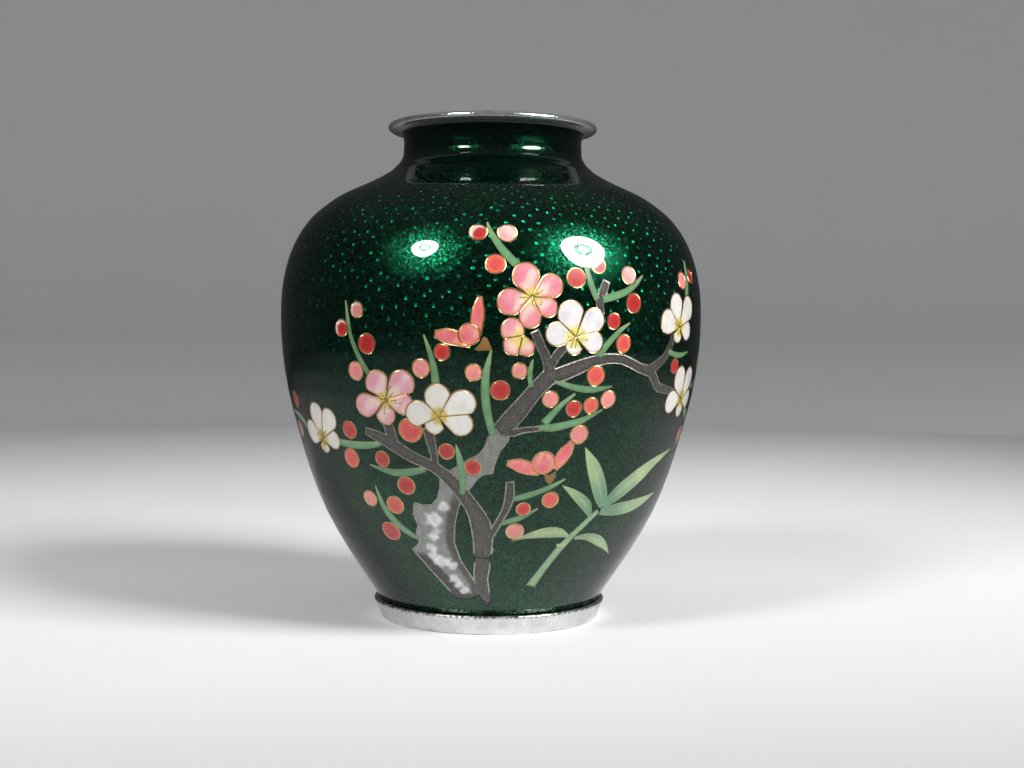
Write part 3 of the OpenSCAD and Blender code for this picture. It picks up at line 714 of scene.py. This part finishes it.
def paint_branch(p):
    colour = blend(linear(52, 49, 45), linear(72, 68, 62), smoothstep(0.1, 1.6, p["edge"]))
    streak = 0.5 + 0.5 * np.sin(p["flat"][:, 0] * 1.3 + p["flat"][:, 1] * 0.7)
    return blend(colour * 0.88, colour * 1.08, streak)


def paint_bark_line(p):
    """The wires round the wood are bright, and darker at the foot and where two trunks join."""
    az, z = p["azimuth"], p["z"]
    # sunk is only a darker wire colour here; the wires are not lowered
    light, sunk = linear(255, 255, 255), linear(70, 72, 68)
    foot = 1 - smoothstep(15.0, 17.5, z)
    join = (az > -6.5) * (az < 3.0) * (1 - smoothstep(1.3, 2.0, np.abs(z - 29.7)))
    return blend(light, sunk, np.clip(foot + join, 0, 1))


# ---- Build: ground, inside and rings -----------------------------------------
COLUMNS = 256
DIMPLES = 80
OUTER_ROWS, BACK_ROWS = 210, 60
SKIN_DEPTH = 1.15


def ground_outline():
    """The closed outline of the ground's skin, and the distance s of each of its points."""
    s, back = np.linspace(0, LENGTH, OUTER_ROWS), np.linspace(LENGTH, 0, BACK_ROWS)
    outer = np.stack([radius(s), height(s)], -1)
    n = normals(np.zeros(len(back)), back)
    inner = np.stack([radius(back) + n[:, 1] * SKIN_DEPTH, height(back) - n[:, 2] * SKIN_DEPTH], -1)
    inner[:, 1] = np.clip(inner[:, 1], height(0), height(LENGTH))
    return np.concatenate([outer, inner]), np.concatenate([s, back])


def lay_dimples(obj, rows_s):
    """UVs in which the dimples of the foil are the points of a square grid, set on its corner."""
    turns = np.interp(rows_s, WALL_S, WALL_TURNS) / (2 * math.pi)
    uvs = obj.data.uv_layers.new(name="dimples")
    for loop, corner in enumerate(obj.data.loops):
        row, column = divmod(corner.vertex_index, COLUMNS)
        is_last_face = loop // 4 % COLUMNS == COLUMNS - 1
        if is_last_face and column == 0:
            column = COLUMNS
        u = column / COLUMNS * DIMPLES
        v = round(turns[row] * DIMPLES, 4)
        uvs.data[loop].uv = (u + v, u - v)


skin_outline, skin_rows = ground_outline()
ground = revolved("ground_skin", skin_outline, COLUMNS, ground_material())
lay_dimples(ground, skin_rows)
place(ground, "ground_enamel", "ground_enamel")


def ring_outline(node):
    """The outline that the node's solid of revolution was turned from, as (radius, height) in mm."""
    mesh = NODES[node].data
    ring = [(round(math.hypot(v.co.x, v.co.y) / MM, 2), round(v.co.z / MM, 2)) for v in mesh.vertices]
    links = {}
    for face in mesh.polygons:
        kinds = list(dict.fromkeys(ring[v] for v in face.vertices))
        for a in kinds:
            for b in kinds:
                if a != b:
                    links.setdefault(a, {}).setdefault(b, 0)
                    links[a][b] += 1
    start = max(links, key=lambda k: (k[0], k[1]))
    path, last = [start], None
    while True:
        options = [k for k in sorted(links[path[-1]], key=lambda k: -links[path[-1]][k])[:2] if k != last]
        step = options[0]
        if step == start or len(path) > 200:
            break
        last = path[-1]
        path.append(step)
    return np.array(path)


def refined(outline, longest, corner=0.12):
    """Splits long sides, and turns each corner into a small bevel so that it catches light."""
    out = []
    count = len(outline)
    for i in range(count):
        a, b = outline[i], outline[(i + 1) % count]
        size = np.linalg.norm(b - a)
        cut = min(corner, size * 0.25) / size
        a, b = a + (b - a) * cut, b + (a - b) * cut
        n = max(1, math.ceil(np.linalg.norm(b - a) / longest))
        out += [a + (b - a) * k / n for k in range(n + 1)]
    return np.array(out)


def hammered(amount, low_z, high_z, seed):
    """Small dents, amount mm deep, in a band of heights."""

    def shape(angle, r, z):
        band = smoothstep(low_z, low_z + 0.3, z) * (1 - smoothstep(high_z, high_z + 0.3, z))
        dents = np.sin(angle * 97 + z * 5 + seed) * np.sin(angle * 151 - z * 7) * np.cos(angle * 61 + z * 3)
        return r - amount * band * (0.5 + 0.5 * dents), z

    return shape


RING_COLUMNS = 384
rim_silver = silver("rim_silver", pits=0.75, tarnish=0.35, roughness=0.1, metal=0.9)
rim = revolved("rim_ring_metal", refined(ring_outline("rim_ring"), 0.5), RING_COLUMNS, rim_silver,
               shape=hammered(0.06, 182.6, 184.8, 1.0))
place(rim, "silver_ring", "rim_ring")
foot_silver = silver("foot_silver", pits=0.15, tarnish=0.4, roughness=0.24, brass=0.15, worn_above=6.3,
                     metal=0.85)
foot = revolved("foot_ring_metal", refined(ring_outline("foot_ring"), 0.6), RING_COLUMNS, foot_silver,
                shape=hammered(0.10, 6.4, 7.2, 2.0))
place(foot, "silver_ring", "foot_ring")


def inner_outline(depth=2.95, thick=0.6, fillet=3.0):
    """The inside of the vase: a floor that curves up into the wall, and its underside."""
    low_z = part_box("inner_enamel")[0].z / MM
    floor_z, under_z = low_z + thick, low_z + 0.1
    s = np.linspace(0, LENGTH, 150)
    n = normals(np.zeros(len(s)), s)
    face = np.stack([radius(s) + n[:, 1] * depth, height(s) - n[:, 2] * depth], -1)
    face = face[face[:, 1] > floor_z + fillet]
    turn = np.linspace(0, math.pi / 2, 7)[:-1]
    wall_r = face[0, 0]
    corner = np.stack([wall_r - fillet * (1 - np.sin(turn)), floor_z + fillet * (1 - np.cos(turn))], -1)
    floor = np.stack([np.linspace(0.05, wall_r - fillet - 1, 14), np.full(14, floor_z)], -1)
    behind = face[::-6] + (thick * 0.75, 0)
    behind[:, 1] = np.maximum(behind[:, 1], under_z)
    under = np.array([(wall_r - fillet, under_z), (0.05, under_z)])
    return np.concatenate([floor, corner, face, behind, under])


inner_skin = revolved("inner_skin", inner_outline(), 160, inside_material())
place(inner_skin, "inner_enamel", "inner_enamel")
for obj in (rim, foot, inner_skin):
    bm = bmesh.new()
    bm.from_mesh(obj.data)
    bmesh.ops.recalc_face_normals(bm, faces=bm.faces)
    bm.to_mesh(obj.data)
    bm.free()

# ---- Build: carried-over CAD pieces -------------------------------------------
for names, material in (
        (("copper_upper_body", "copper_lower_body", "copper_base"), copper_material()),
        (("silver_foil",), foil_material()),
        (("base_enamel",), inside_material())):
    for name in names:
        NODES[name].data.materials.clear()
        NODES[name].data.materials.append(material)

# ---- Build: the design ----------------------------------------------------------
glaze = enamel("cell_enamel")
bark = enamel("bark_enamel", grain=0.16, specks=0.5, roughness=0.45, fine=1800.0)
petal_glaze = enamel("petal_enamel", grain=0.045, roughness=0.3)
gilt = wire_material("gilt_wire", rgba(240, 208, 156), rgba(198, 156, 100))
pewter = wire_material("branch_wire", rgba(196, 190, 178), rgba(140, 132, 120), 0.4, painted=True)

CRESCENTS = [(-3.5, 139.9), (27.2, 129.8), (-39.9, 108.2), (-34.8, 114.3)]  # azimuth and height of each
PALE_BUDS = [(3.9, 139.7), (36.3, 126.7)]
BUDS = {  # core and edge of each kind
    "red_bud_enamel": ((186, 34, 38), (214, 66, 48)),
    "coral_bud_enamel": ((222, 80, 80), (240, 118, 76)),
    "pink_bud_enamel": ((240, 140, 144), (244, 166, 134)),
}


def wire_net(name, node):
    """The gilt wires of one node, a little proud of the enamel."""
    place(build_cells(name, [node], gilt, pitch=0.5, lift=0.07, rounded=0.7), "gilt_wire", node)


for node, (core, edge_colour) in BUDS.items():
    paint = paint_bud(core, edge_colour, CRESCENTS, PALE_BUDS)
    place(build_cells(node + "_cells", [node], glaze, paint, rim=0.3), node, node)
wire_net("bud_rings", "bud_wire")

CORAL = dict(rim=(246, 150, 128), body=(250, 156, 170), pale=(254, 228, 214), eye=(250, 230, 120),
             shade=(242, 122, 142))
ROSE = dict(rim=(244, 160, 134), body=(247, 160, 176), pale=(253, 222, 208), eye=(244, 218, 120),
            shade=(240, 132, 146))
BLUSH = dict(rim=(246, 176, 158), body=(248, 184, 198), pale=(254, 232, 222), eye=(240, 210, 110),
             shade=(240, 152, 176))
WHITE = dict(rim=(250, 240, 232), body=(246, 243, 244), pale=(252, 250, 240), eye=(246, 238, 130),
             shade=(220, 212, 222), eye_size=(2.2, 4.2))
IVORY = dict(rim=(250, 240, 224), body=(248, 246, 240), pale=(250, 248, 236), eye=(226, 196, 80),
             shade=(226, 226, 222), eye_size=(2.0, 3.2))
SNOW = dict(rim=(248, 236, 226), body=(250, 244, 240), pale=(252, 246, 224), eye=(220, 206, 90),
            shade=(232, 222, 226), eye_size=(1.8, 4.0))
SIDEWAYS = dict(rim=(246, 138, 104), body=(240, 120, 130), pale=(252, 186, 172), eye=(244, 124, 118),
                shade=(226, 88, 104), eye_size=(0.5, 1.0), pale_at=(1.0, 4.0))
TINTS = {1: CORAL, 2: ROSE, 3: WHITE, 4: SNOW, 5: SNOW, 6: BLUSH, 7: IVORY, 8: SNOW}
PINK_BLOSSOMS = (1, 2, 6)


def blossom(stem, tint, slot):
    """The petals and wires of one blossom. Gives back its heart."""
    heart = heart_of(stem + "_petals")
    paint = paint_petals(heart, **tint)
    petals = build_cells(stem + "_petals_cells", [stem + "_petals"], petal_glaze, paint, rim=0.3)
    place(petals, slot, stem + "_petals")
    wire_net(stem + "_wire_net", stem + "_wire")
    return heart


hearts = {}
for number, tint in TINTS.items():
    slot = "pink_petal" if number in PINK_BLOSSOMS else "white_petal"
    hearts[number] = blossom(f"blossom_{number}", tint, slot)
for number in (1, 2):
    blossom(f"side_blossom_{number}", SIDEWAYS, "pink_petal")

for name, node, paint in (
        ("sepals", "sepal_enamel", paint_long((158, 112, 52), (120, 84, 44), (170, 130, 70))),
        ("shoots", "shoot_enamel", paint_long((116, 168, 116), (88, 138, 94), (172, 200, 150))),
        ("bamboo_stem", "bamboo_stem_enamel", paint_stem),
        ("bamboo_leaves", "bamboo_leaf_enamel", paint_leaf)):
    place(build_cells(name, [node], glaze, paint, rim=0.22), node, node)
place(build_cells("trunks", ["trunk_enamel"], bark, paint_trunk), "trunk_enamel", "trunk_enamel")
place(build_cells("branches", ["branch_enamel"], bark, paint_branch), "branch_enamel", "branch_enamel")
for node in ("trunk_wire", "branch_wire"):
    place(build_cells(node + "_lines", [node], pewter, paint_bark_line, pitch=0.5, lift=0.06, rounded=0.6),
          "branch_wire", node)


def stamens(plan, steps=7, proud=0.085, sunk=-0.1):
    """Fine gilt lines out of the hearts, each with a tiny head. The plan gives each blossom's number,
    the count and length of its stamens and the angle of the first."""
    points, faces = [], []
    for number, count, length, turn in plan:
        azimuth, s = hearts[number]
        for k in range(count):
            angle = turn + 2 * math.pi * k / count + 0.2 * math.sin(5 * k + number)
            reach = length * (0.8 + 0.25 * math.sin(3.7 * k + number))
            start = len(points)
            for i in range(steps):
                t = i / (steps - 1)
                bend = angle + 0.25 * t * math.sin(2.3 * k + number)
                width = 0.11 if t < 0.85 else 0.2
                away = 0.3 + reach * t
                for side in (-1, 1):
                    x = away * math.cos(bend) - side * width * math.sin(bend)
                    y = away * math.sin(bend) + side * width * math.cos(bend)
                    point_azimuth, point_s = np.array(azimuth + x / radius(s + y)), np.array(s + y)
                    for lift in (proud, sunk):
                        points.append(on_wall(point_azimuth, point_s, lift))
            for i in range(steps - 1):
                a, b = start + 4 * i, start + 4 * i + 4
                faces += [(a, b, b + 2, a + 2), (a + 1, a + 3, b + 3, b + 1),
                          (a, a + 1, b + 1, b), (a + 2, b + 2, b + 3, a + 3)]
            e = start + 4 * (steps - 1)
            faces += [(start, start + 2, start + 3, start + 1), (e, e + 1, e + 3, e + 2)]
    brass = wire_material("stamen_wire", rgba(214, 176, 84), rgba(120, 92, 40), 0.4)
    return new_object("stamens", points, faces, brass)


place(stamens([(1, 11, 4.2, 0.2), (3, 9, 4.0, 0.5), (6, 10, 5.2, 0.1), (8, 8, 4.2, 0.3), (4, 7, 3.4, 0.2),
               (5, 7, 3.2, 0.4)]), "gilt_wire")

# ---- Floor, backdrop, lamps and camera -------------------------------------------


def paper_with_painted_falloff(name, near_colour, far_colour, start, end, centre_y=0.0):
    """A paper whose tone changes slowly with the distance from a place behind the vase, a painted falloff
    of the lamps' light. Gives back the shader and the tone, so that more can be done to it."""
    sh = Shader(name, Roughness=0.9)
    split = sh.node("ShaderNodeSeparateXYZ", {"Vector": sh.coords()}).outputs
    flat = sh.node("ShaderNodeCombineXYZ", {"X": split["X"], "Y": sh.math("SUBTRACT", split["Y"], centre_y)})
    away = sh.node("ShaderNodeVectorMath", {0: flat.outputs[0]}, operation="LENGTH").outputs["Value"]
    return sh, sh.mix(sh.ramp(away, start, end), near_colour, far_colour)


def table_material():
    """Painted light on the table: brightest near the vase, a little darker to the front and right, a painted
    falloff of the lamps' light. In glossy rays its colour is dimmed with the distance, a painted fade of its
    reflection in the vase towards the dark room."""
    sh, tone = paper_with_painted_falloff("table_paper", rgba(250, 251, 252), rgba(218, 219, 221), 0.36, 0.9, centre_y=0.22)
    split = sh.node("ShaderNodeSeparateXYZ", {"Vector": sh.coords()}).outputs
    # Painted shade: the table is darker to the right and to the front
    painted_shade_right = sh.ramp(sh.math("MULTIPLY_ADD", split["Y"], -0.45, split["X"]), -0.05, 0.25, 1.0, 0.78)
    painted_shade_front = sh.ramp(split["Y"], 0.08, -0.20, 1.0, 0.60)
    distance = sh.node("ShaderNodeVectorMath", {0: sh.coords()}, operation="LENGTH").outputs["Value"]
    # Painted reflection fade: seen in glossy rays, the table is dimmed with its distance
    painted_reflection_fade = sh.math("SUBTRACT", sh.math("POWER", 0.05, distance), 1.0)
    mirrored = sh.node("ShaderNodeLightPath").outputs["Is Glossy Ray"]
    share = sh.math("MULTIPLY_ADD", mirrored, painted_reflection_fade, 1.0)
    share = sh.math("MULTIPLY", sh.math("MULTIPLY", painted_shade_right, painted_shade_front), share)
    tone = sh.node("ShaderNodeVectorMath", {0: tone, "Scale": share}, operation="SCALE").outputs[0]
    return sh.set(Base_Color=tone)


def backdrop_material():
    # Painted falloff of the lamps' light: the backdrop darkens as it rises away from the table
    sh, tone = paper_with_painted_falloff("backdrop_paper", rgba(218, 219, 221), rgba(168, 169, 170), 1.15, 1.40)
    return sh.set(Base_Color=tone)


def bowl(name, outline, material):
    obj = revolved(name, outline, 96, material, closed=False)
    return obj


TABLE_R, SWEEP_R = 1150, 350
ROOM_R = TABLE_R + SWEEP_R
bowl("table", [(r, 0) for r in (0.5, 60, 120, 240, 400, 600, 800, 1000, TABLE_R)], table_material())
bend = np.linspace(0, math.pi / 2, 16)
sweep = [(TABLE_R + SWEEP_R * math.sin(a), SWEEP_R * (1 - math.cos(a))) for a in bend]
sweep += [(ROOM_R, h) for h in (500, 800, 1300, 1900)]
backdrop = bowl("backdrop", sweep, backdrop_material())
backdrop.visible_glossy = False
backdrop.visible_shadow = False


def lamp_glow(name, size, strength, ring, edge=0.03):
    """Bright to the rim of a dish of that radius, in metres, apart from a darker ring in it."""
    sh = Shader(name)
    sh.tree.nodes.remove(sh.main)
    away = sh.node("ShaderNodeVectorMath", {0: sh.coords()}, operation="LENGTH").outputs["Value"]
    part = sh.math("DIVIDE", away, size)
    inner, outer = ring
    past_inner = sh.ramp(part, inner - edge, inner + edge)
    before_outer = sh.ramp(part, outer + edge, outer - edge)
    dark = sh.math("MULTIPLY", sh.math("MULTIPLY", past_inner, before_outer), 0.75)
    power = sh.math("MULTIPLY", sh.math("SUBTRACT", 1.0, dark), strength)
    glow = sh.node("ShaderNodeEmission", {"Strength": power, "Color": (1.0, 0.995, 0.985, 1)})
    sh.tree.links.new(glow.outputs[0], sh.tree.nodes["Material Output"].inputs["Surface"])
    return sh.material


def lamp(name, highlight, direction, distance, angle, strength, ring):
    """A round studio lamp that shines on the vase. highlight is the azimuth and height of its
    reflection, direction points from there to the lamp, angle is how wide the vase sees it, and ring
    is the darker circle in its dish."""
    azimuth, z = math.radians(highlight[0]), highlight[1]
    spot = Vector(on_wall(np.array(azimuth), np.array(s_of(z))))
    aim = Vector(direction).normalized()
    size = distance * math.tan(math.radians(angle) / 2)
    rows = [(size / MM * k / 24, 0) for k in range(1, 25)]
    obj = revolved(name, rows, 48, lamp_glow(name + "_glow", size, strength, ring), closed=False)
    obj.location = spot + aim * distance
    obj.rotation_euler = (-aim).to_track_quat("Z", "Y").to_euler()
    obj.visible_camera = False


lamp("key_lamp", (23.5, 135.5), (0.688, -0.439, 0.578), 1.05, 24, 36.0, (0.22, 0.42))
lamp("fill_lamp", (-16.9, 135.5), (-0.529, -0.591, 0.6095), 1.05, 14, 48.0, (0.25, 0.5))


def dim_room():
    """A dark grey world that is a little lighter overhead."""
    world = bpy.data.worlds.new("dim_room")
    world.use_nodes = True
    nodes, links = world.node_tree.nodes, world.node_tree.links
    direction = nodes.new("ShaderNodeTexCoord").outputs["Generated"]
    split = nodes.new("ShaderNodeSeparateXYZ")
    tone = nodes.new("ShaderNodeMapRange")
    for socket, value in (("From Min", 0.5), ("From Max", 1.0), ("To Min", 0.04), ("To Max", 0.10)):
        tone.inputs[socket].default_value = value
    links.new(direction, split.inputs[0])
    links.new(split.outputs["Z"], tone.inputs["Value"])
    links.new(tone.outputs["Result"], nodes["Background"].inputs["Color"])
    return world


bpy.context.scene.world = dim_room()
bpy.context.scene.view_settings.view_transform = "Standard"

camera_data = bpy.data.cameras.new("camera")
camera_data.lens = 50
camera_data.sensor_width = 36
camera_data.clip_start = 0.05
camera = bpy.data.objects.new("camera", camera_data)
bpy.context.scene.collection.objects.link(camera)
camera.location = (0, -0.5412, 0.107)
yaw, pitch, roll = 0.01492, 0.03584, math.radians(0.5)
camera.rotation_euler = (math.pi / 2 - pitch, 0, -yaw)
camera.rotation_euler.rotate_axis("Z", roll)
bpy.context.scene.camera = camera
